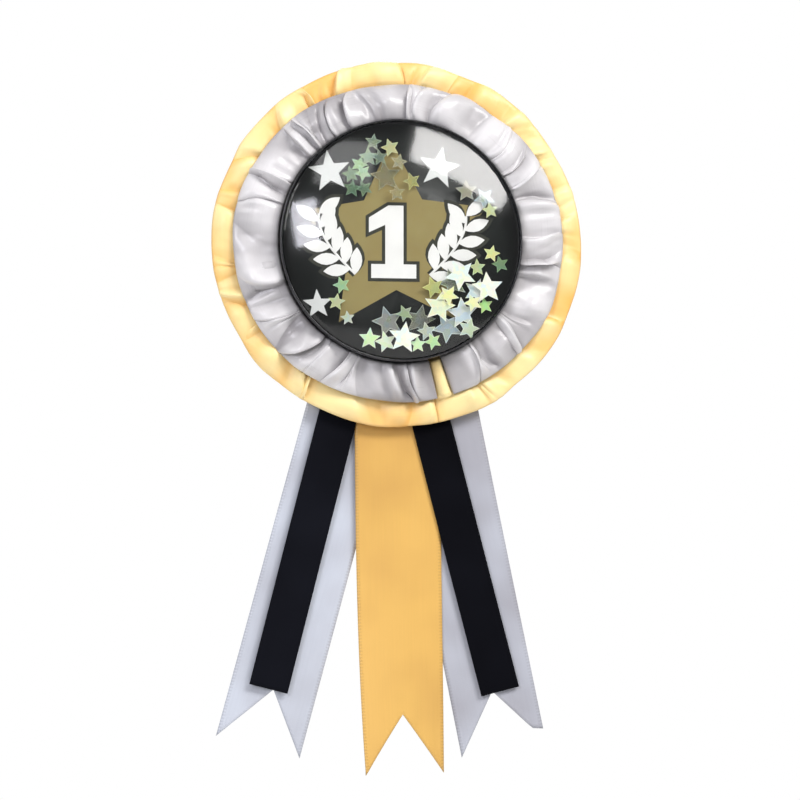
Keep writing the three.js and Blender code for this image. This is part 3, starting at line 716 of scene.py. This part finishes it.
def satin(name, face_colour, painted_shade_colour, half_width, low, high, lustre, weave, **sockets):
    """Satin of a face colour and a painted shade colour: its roughness runs from low to high, and
    weave is its relief.
    """
    material = plain_material(name, face_colour, 0.4, **sockets)
    nodes, links = material.node_tree.nodes, material.node_tree.links
    cloth, raise_it = nodes.new("ShaderNodeGroup"), nodes.new("ShaderNodeBump")
    cloth.node_tree = SATIN_WEAVE
    cloth.inputs["Face"].default_value = (*face_colour, 1)
    # Depth is the painted shade colour.
    cloth.inputs["Depth"].default_value = (*painted_shade_colour, 1)
    cloth.inputs["Half Width"].default_value = half_width
    cloth.inputs["Lustre"].default_value = lustre
    cloth.inputs["Low"].default_value = low
    cloth.inputs["High"].default_value = high
    raise_it.inputs["Strength"].default_value = weave
    raise_it.inputs["Distance"].default_value = 0.00006
    shader = nodes["Principled BSDF"]
    links.new(cloth.outputs["Colour"], shader.inputs["Base Color"])
    links.new(cloth.outputs["Roughness"], shader.inputs["Roughness"])
    links.new(cloth.outputs["Height"], raise_it.inputs["Height"])
    links.new(raise_it.outputs["Normal"], shader.inputs["Normal"])
    return material


def cloth_piece(name, grid, lie, fold, material, thickness):
    """A ribbon's surface from rows of points, made into a thin closed body."""
    wide, points = len(grid[0]), [p for row in grid for p in row]
    faces = [(i * wide + k, i * wide + k + 1, (i + 1) * wide + k + 1, (i + 1) * wide + k)
             for i in range(len(grid) - 1) for k in range(wide - 1)]
    obj = mesh_piece(name, points, faces, material, merge=False)
    mesh = obj.data
    flat_lie, flat_painted_light = [q for row in lie for q in row], [f for row in fold for f in row]
    uv = mesh.uv_layers.new(name="lie")
    for loop in mesh.loops:
        uv.data[loop.index].uv = flat_lie[loop.vertex_index]
    # fold holds painted light: how far each point's colour goes from the painted shade colour to
    # the face colour.
    painted_light_attr = mesh.attributes.new("fold", "FLOAT", "POINT")
    painted_light_attr.data.foreach_set("value", flat_painted_light)
    wall = obj.modifiers.new("wall", "SOLIDIFY")
    wall.thickness, wall.offset = thickness * MM, 0
    made = bpy.data.meshes.new_from_object(
        obj.evaluated_get(bpy.context.evaluated_depsgraph_get()))
    obj.modifiers.remove(wall)
    obj.data = made
    return obj


def smooth_profile(stops, steps):
    """Evenly spread points of a curve through the stops, with the length run so far."""
    fine = []
    for i in range(len(stops) - 1):
        p = [Vector(stops[min(max(i + k, 0), len(stops) - 1)]) for k in (-1, 0, 1, 2)]
        for k in range(12):
            t = k / 12
            fine.append(0.5 * ((2 * p[1]) + (p[2] - p[0]) * t
                               + (2 * p[0] - 5 * p[1] + 4 * p[2] - p[3]) * t * t
                               + (3 * p[1] - p[0] - 3 * p[2] + p[3]) * t ** 3))
    fine.append(Vector(stops[-1]))
    run = [0.0]
    for a, b in zip(fine, fine[1:]):
        run.append(run[-1] + math.hypot(b[0] - a[0], (b[1] + b[2] - a[1] - a[2]) / 2))
    out, at = [], 0
    for k in range(steps + 1):
        want = run[-1] * k / steps
        while at < len(run) - 2 and run[at + 1] < want:
            at += 1
        share = (want - run[at]) / max(1e-9, run[at + 1] - run[at])
        out.append((*fine[at].lerp(fine[at + 1], min(1, share)), want))
    return out


CREASE_DEPTH, CREASE_WIDTH = 0.45, 0.08  # shares of a fold's height and width
LOWEST_CREST = -0.2  # keeps the front of a ruffle clear of its back
CREASE_PAINTED_SHADE = 0.35  # painted shade in a crease: how far the satin's colour there goes from the shade colour to the face's


def ruffle(name, stops, material, folds, seed, ends_at, gap, pull, lap, widen, cut,
           dimples=(), swell=None, steps=64, per_fold=16):
    """A gathered ring. Each stop gives a radius and how far forward the ribbon stands there
    in a crease and on a fold's crest; the stops run out over the front and back behind.
    Its ends meet at the angle ends_at with a gap between them, all in degrees, as are pull,
    how far a fold slants, and lap, how far it leans over its neighbour. widen is how much
    broader than tall the ring hangs, and cut the ribbon's length. A dimple has an angle, a
    radius and a size, and swell is a narrow fold that stands up from its neighbours: its
    angle, its two radii, its half width and its height."""
    chance = random.Random(seed)
    profile = smooth_profile(stops, steps)
    widths = [chance.uniform(0.4, 1.6) for _ in range(folds)]
    whole = 360 - gap
    lines, total = [0.0], sum(widths)
    for w in widths:
        lines.append(lines[-1] + whole * w / total)
    slants = [0.0] + [chance.uniform(-pull, pull) for _ in range(folds - 1)] + [0.0]
    bows = [0.0] + [chance.uniform(-pull, pull) * 0.8 for _ in range(folds - 1)] + [0.0]
    sizes = [chance.uniform(0.4, 1.1) * min(1.0, 0.6 + 0.4 * w) for w in widths]
    leans = [chance.choice((chance.uniform(0.35, 0.8), chance.uniform(1.2, 2.8)))
             for _ in range(folds)]
    ridged = [chance.uniform(0, 1) for _ in range(folds)]
    reaches = [chance.uniform(0.86, 1.12) for _ in range(folds)]
    laps = [chance.uniform(0.4, 1.0) * lap * (1 if lean > 1 else -1) for lean in leans]
    creases = [(chance.uniform(0.2, 0.8), chance.uniform(-0.3, 0.3), chance.uniform(0.0, 0.7))
               for _ in range(folds)]
    # Painted sheen: each fold is painted as a lighter or darker band, lighter towards one side.
    painted_sheen_bands = [(chance.uniform(-0.36, 0.3), chance.uniform(-0.5, 0.5)) for _ in range(folds)]
    inner, outer = min(s[0] for s in stops), max(s[0] for s in stops)
    grid, lie, fold = [], [], []
    for i in range(folds * per_fold + 1):
        k = min(i // per_fold, folds - 1)
        t = i / per_fold - k
        crest_at = 0.5 ** (1 / leans[k])
        row, row_lie, row_painted_light = [], [], []
        for r, low, high, run in profile:
            # Where this point lies: its share of the way out, and its angle between two folds.
            reach = (r - inner) / (outer - inner)
            bend = [lines[j] + slants[j] * reach + bows[j] * math.sin(math.pi * reach)
                    for j in (k, k + 1)]
            turn = bend[0] + (bend[1] - bend[0]) * t
            a = math.radians(ends_at + gap / 2 + turn)
            # How far the fold stands up: rounded or ridged, creased, and a little uneven.
            puff = max(0.0, math.sin(math.pi * t ** leans[k])) ** 0.7 if 0 < t < 1 else 0.0
            ridge = (t / crest_at if t < crest_at else (1 - t) / (1 - crest_at)) ** 1.7
            fade = 1 - 0.75 * min(1.0, max(0.0, (reach - reaches[k] + 0.15) / 0.2)) ** 1.5
            crest = (puff + (ridge - puff) * ridged[k]) * sizes[k] * fade
            a += math.radians(laps[k] * max(0.0, crest) * min(1.0, reach * 2, high - low))
            at, drift, deep = creases[k]
            notch = math.exp(-((t - at - drift * reach) / CREASE_WIDTH) ** 2)
            crest -= deep * CREASE_DEPTH * notch * fade
            x, z = math.cos(a), math.sin(a)
            grain = (noise.noise((a * 8, r * 0.10, seed)) * 0.6
                     + noise.noise((a * 24, r * 0.13, seed)))
            soft = noise.noise((x * r / 4.2, z * r / 4.2, seed + 9.0))
            crest += 0.12 * grain * fade + 0.16 * soft
            for dimple_a, dimple_r, dimple_size in dimples:
                off = math.hypot(r * math.radians((math.degrees(a) - dimple_a + 180) % 360 - 180),
                                 (r - dimple_r) * 1.3) / dimple_size
                below = math.hypot(off, (r - dimple_r - dimple_size * 0.5) / dimple_size * 1.6)
                crest += 0.3 * math.exp(-(off / 0.9) ** 2) - 0.3 * math.exp(-(below / 0.5) ** 2)
            crest = max(crest, LOWEST_CREST)
            # How far forward that is; the ribbon's two ends are pressed down where they meet.
            pressed = min(1.0, 0.1 + min(turn, whole - turn) / 8) if gap > 1 else 1.0
            level = (low + (high - low) * crest * pressed
                     - max(0, low - stops[0][1]) * (1 - pressed) * 0.8)
            if swell:
                off = r * math.radians((math.degrees(a) - swell[0] + 180) % 360 - 180) / swell[3]
                rise = math.exp(-off ** 4) * (swell[1] < r < swell[2]) * (high - low > 0.5)
                level, crest = level + rise * swell[4], max(crest, rise)
            side = (r + (0.5 * crest * fade + 0.5 * noise.noise((x * 4, z * 4, seed))
                         + widen * (x * x - 0.4)) * reach ** 6)
            row.append((side * x, -level, CENTRE_Z + side * z))
            row_lie.append((run - profile[-1][3] / 2, cut * i / (folds * per_fold)))
            # Painted light: the crest, less its creases, sets how far the colour goes from the
            # painted shade to the face, and the fold's painted sheen band is added.
            painted_sheen = painted_sheen_bands[k][0] + painted_sheen_bands[k][1] * (t - 0.5)
            row_painted_light.append(min(1, max(0, CREASE_PAINTED_SHADE + crest + painted_sheen)))
        grid.append(row)
        lie.append(row_lie)
        fold.append(row_painted_light)
    return cloth_piece(name, grid, lie, fold, material, RIBBON_T)


FOLDED_HALF = 18.0  # half the width of the ribbon that both ruffles are folded from
# Each satin's second colour is its painted shade.
gold_gathered = satin("gold_satin_gathered", (0.90, 0.71, 0.335), (0.83, 0.46, 0.115),
                      FOLDED_HALF, 0.36, 0.48, lustre=2.4, weave=0.12, Sheen_Weight=0.15)
gold_ring = ruffle("gold_ruffle_satin", [
    (30.7, 9.3, 10.2), (36.0, 9.4, 10.4), (40.6, 9.5, 10.5), (42.0, 9.7, 11.4), (43.8, 9.8, 11.7),
    (45.4, 9.7, 11.3), (46.7, 9.5, 10.4), (47.4, 9.1, 9.5), (46.7, 8.7, 8.9), (44.0, 8.2, 8.9),
    (38.0, 8.3, 8.85), (34.6, 8.62, 8.7), (30.7, 8.64, 8.68)], gold_gathered,
    folds=33, seed=5, ends_at=-77, gap=0.15, pull=6.0, lap=2.2, widen=0.8, cut=300,
    swell=(-73.0, 31.4, 40.9, 1.6, 3.0))
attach(gold_ring, "rosette")
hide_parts("gold_ruffle")

silver_gathered = satin("silver_satin_gathered", (0.65, 0.635, 0.645), (0.29, 0.275, 0.285),
                        FOLDED_HALF, 0.27, 0.31, lustre=1.6, weave=0.05, Sheen_Weight=0.1)
silver_ring = ruffle("silver_ruffle_satin", [
    (24.7, 11.5, 12.2), (30.6, 11.9, 12.35), (31.2, 12.6, 13.1), (31.4, 13.6, 14.9),
    (32.2, 13.9, 15.7), (34.0, 13.6, 16.5), (36.2, 13.2, 16.7), (38.2, 12.7, 16.3),
    (40.0, 12.3, 15.0), (41.2, 11.9, 13.1), (41.6, 11.5, 12.1), (41.0, 11.1, 11.3),
    (38.5, 10.96, 11.0), (24.7, 10.94, 10.96)], silver_gathered,
    folds=42, seed=12, ends_at=-73, gap=6.0, pull=9.0, lap=3.8, widen=1.7, cut=280,
    dimples=[(-26, 37.6, 2.4), (-44, 37.2, 2.6), (128, 37.6, 2.4)])
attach(silver_ring, "rosette")
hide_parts("silver_ruffle")

# Gathering threads, cards and foam ----------------------------------------------------
# Hidden parts of the stack: the drawn-up threads, two die-cut white cards, and the pads of
# double-sided foam that hold the badge, the tails and the pin.


def dressed(node, material):
    """Gives a CAD node its finish."""
    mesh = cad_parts[node].data
    mesh.materials.clear()
    mesh.materials.append(material)
    for polygon in mesh.polygons:
        polygon.material_index = 0


white_thread = speckled(plain_material("white_thread", (0.8, 0.78, 0.74), 0.7),
                        2500, 0.6, 0.85, bump=0.5)
white_card = speckled(plain_material("uncoated_card", (0.82, 0.79, 0.72), 0.8),
                      1400, 0.7, 0.9, bump=0.35)
white_foam = speckled(plain_material("foam_tape", (0.85, 0.85, 0.82), 0.9),
                      1800, 0.85, 1.0, bump=0.8)
for node in ("silver_gather_thread", "gold_gather_thread"):
    dressed(node, white_thread)
for node in ("rosette_card", "back_card"):
    dressed(node, white_card)
for node in ("badge_glue_pad", "card_spacer", "pin_pad"):
    dressed(node, white_foam)

# Ribbon tails -------------------------------------------------------------------------
# Five lengths of satin ribbon glued between the cards. The wide ones end in a swallowtail
# and the narrow black ones are cut square. Each hangs flat and sways a little near its end, and the
# gold one turns forward about its right edge.
TAIL_T, TAIL_START = 0.3, -47.2
LAYER_REAR, LAYER_PITCH, NODE_T = -5.15, 0.55, 0.4
TAIL_HALF, STRIP_HALF = 11.0, 5.0  # half widths of the wide and the narrow ribbon
# Each satin's second colour is its painted shade.
gold_satin = satin("gold_satin_tail", (0.66, 0.39, 0.092), (0.54, 0.30, 0.072), TAIL_HALF,
                   0.38, 0.5, lustre=1.7, weave=0.15, Sheen_Weight=0.15)
silver_satin = satin("silver_satin_tail", (0.51, 0.54, 0.61), (0.34, 0.34, 0.38), TAIL_HALF,
                     0.34, 0.46, lustre=1.5, weave=0.15, Sheen_Weight=0.1)
black_satin = satin("black_satin_tail", (0.005, 0.0055, 0.009), (0.0008, 0.0008, 0.002),
                    STRIP_HALF, 0.5, 0.62, lustre=1.0, weave=0.15, Specular_IOR_Level=0.05)
TAILS = [  # name, width, across, slant, drop, notch, snip, twist, length hidden, layer, satin, slot
    ("silver_tail_left", 22, -13.3, -15.2, 84.2, 15, 0, 0, 31.2, 0, silver_satin, "silver_satin"),
    ("silver_tail_right", 22, 11.1, 11.5, 83.7, 15, 3, 0, 31.2, 1, silver_satin, "silver_satin"),
    ("gold_tail", 22, 0.2, 0.7, 88.1, 15, 0, 18, 31.2, 2, gold_satin, "gold_satin"),
    ("black_tail_left", 10, -15.9, -14.3, 68.7, 0, 0, 0, 25.2, 3, black_satin, "black_satin"),
    ("black_tail_right", 10, 9.3, 14.5, 69.6, 0, 0, 0, 25.2, 3, black_satin, "black_satin"),
]


SWAY_TOP, SWAY_LENGTH = -64.0, 85  # the height where the sway begins, and its length
TWIST_START, TWIST_LENGTH = 25, 62
LIT, SHADED, SHADED_FROM = 0.8, 0.3, 5  # painted light: shares of the face colour for the lit left tails and the shaded right ones, and the x where they change
TOP_SHADE, SHADE_LENGTH = 0.45, 40  # painted shadow of the ruffles on a tail's top, and how far down it fades


def sway(x, z):
    """How far a hanging ribbon stands behind its flat place, the same for all five."""
    down = max(0.0, SWAY_TOP - z) / SWAY_LENGTH
    return down ** 1.4 * (0.9 * math.sin(x / 17 + 0.7) - 0.5 * math.cos(z / 19) - 0.3) * 1.2


def hanging_tail(name, width, across, slant, drop, notch, snip, twist, under, layer, material):
    """A flat ribbon that turns forward about its right edge by twist degrees at its end."""
    lean, half, columns, rows = math.radians(slant), width / 2, 26, 90
    middle = LAYER_REAR - LAYER_PITCH * layer - NODE_T / 2
    # Painted light: the left tails are painted lit and the right ones shaded, and a painted shadow
    # darkens each tail's top.
    share = LIT if across < SHADED_FROM else SHADED
    grid, lie, fold = [], [], []
    for i in range(columns + 1):
        side = half * (2 * i / columns - 1)
        from_edge = abs(side) / half
        start = -(under - side * math.sin(lean)) / math.cos(lean)
        end = drop - (notch * (1 - from_edge) if notch else 0)
        if snip and side > 0:
            end = min(end, drop - snip - 0.25 * (half - side))
        row, row_lie, row_painted_light = [], [], []
        for k in range(rows + 1):
            d = start + (end - start) * k / rows
            x = across + d * math.sin(lean) + side * math.cos(lean)
            z = CENTRE_Z + TAIL_START - d * math.cos(lean) + side * math.sin(lean)
            turn = math.radians(twist) * max(
                0.0, min(1.0, (d - TWIST_START) / TWIST_LENGTH)) ** 1.5
            x -= (half - side) * (math.cos(turn) - 1)
            row.append((x, middle + sway(x, z) - (half - side) * math.sin(turn), z))
            row_lie.append((side, d))
            row_painted_light.append(share * min(1.0, TOP_SHADE + max(0.0, d) / SHADE_LENGTH))
        grid.append(row)
        lie.append(row_lie)
        fold.append(row_painted_light)
    return cloth_piece(name + "_satin", grid, lie, fold, material, TAIL_T)


for name, width, across, slant, drop, notch, snip, twist, under, layer, material, slot in TAILS:
    tail = hanging_tail(name, width, across, slant, drop, notch, snip, twist, under, layer,
                        material)
    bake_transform(tail)
    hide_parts(name, name + "_top")

# Bar pin ------------------------------------------------------------------------------
# Nickel-plated steel: a pressed plate with two ears and a rolled catch, a riveted needle,
# and a small turning lock. Its foam pad glues it to the back card.
nickel = speckled(plain_material("nickel_plate", (0.72, 0.705, 0.675), 0.25, Metallic=1.0),
                  120, 0.22, 0.26)
for node in ("pin_base", "pin_rivet", "pin_needle", "pin_lock"):
    dressed(node, nickel)
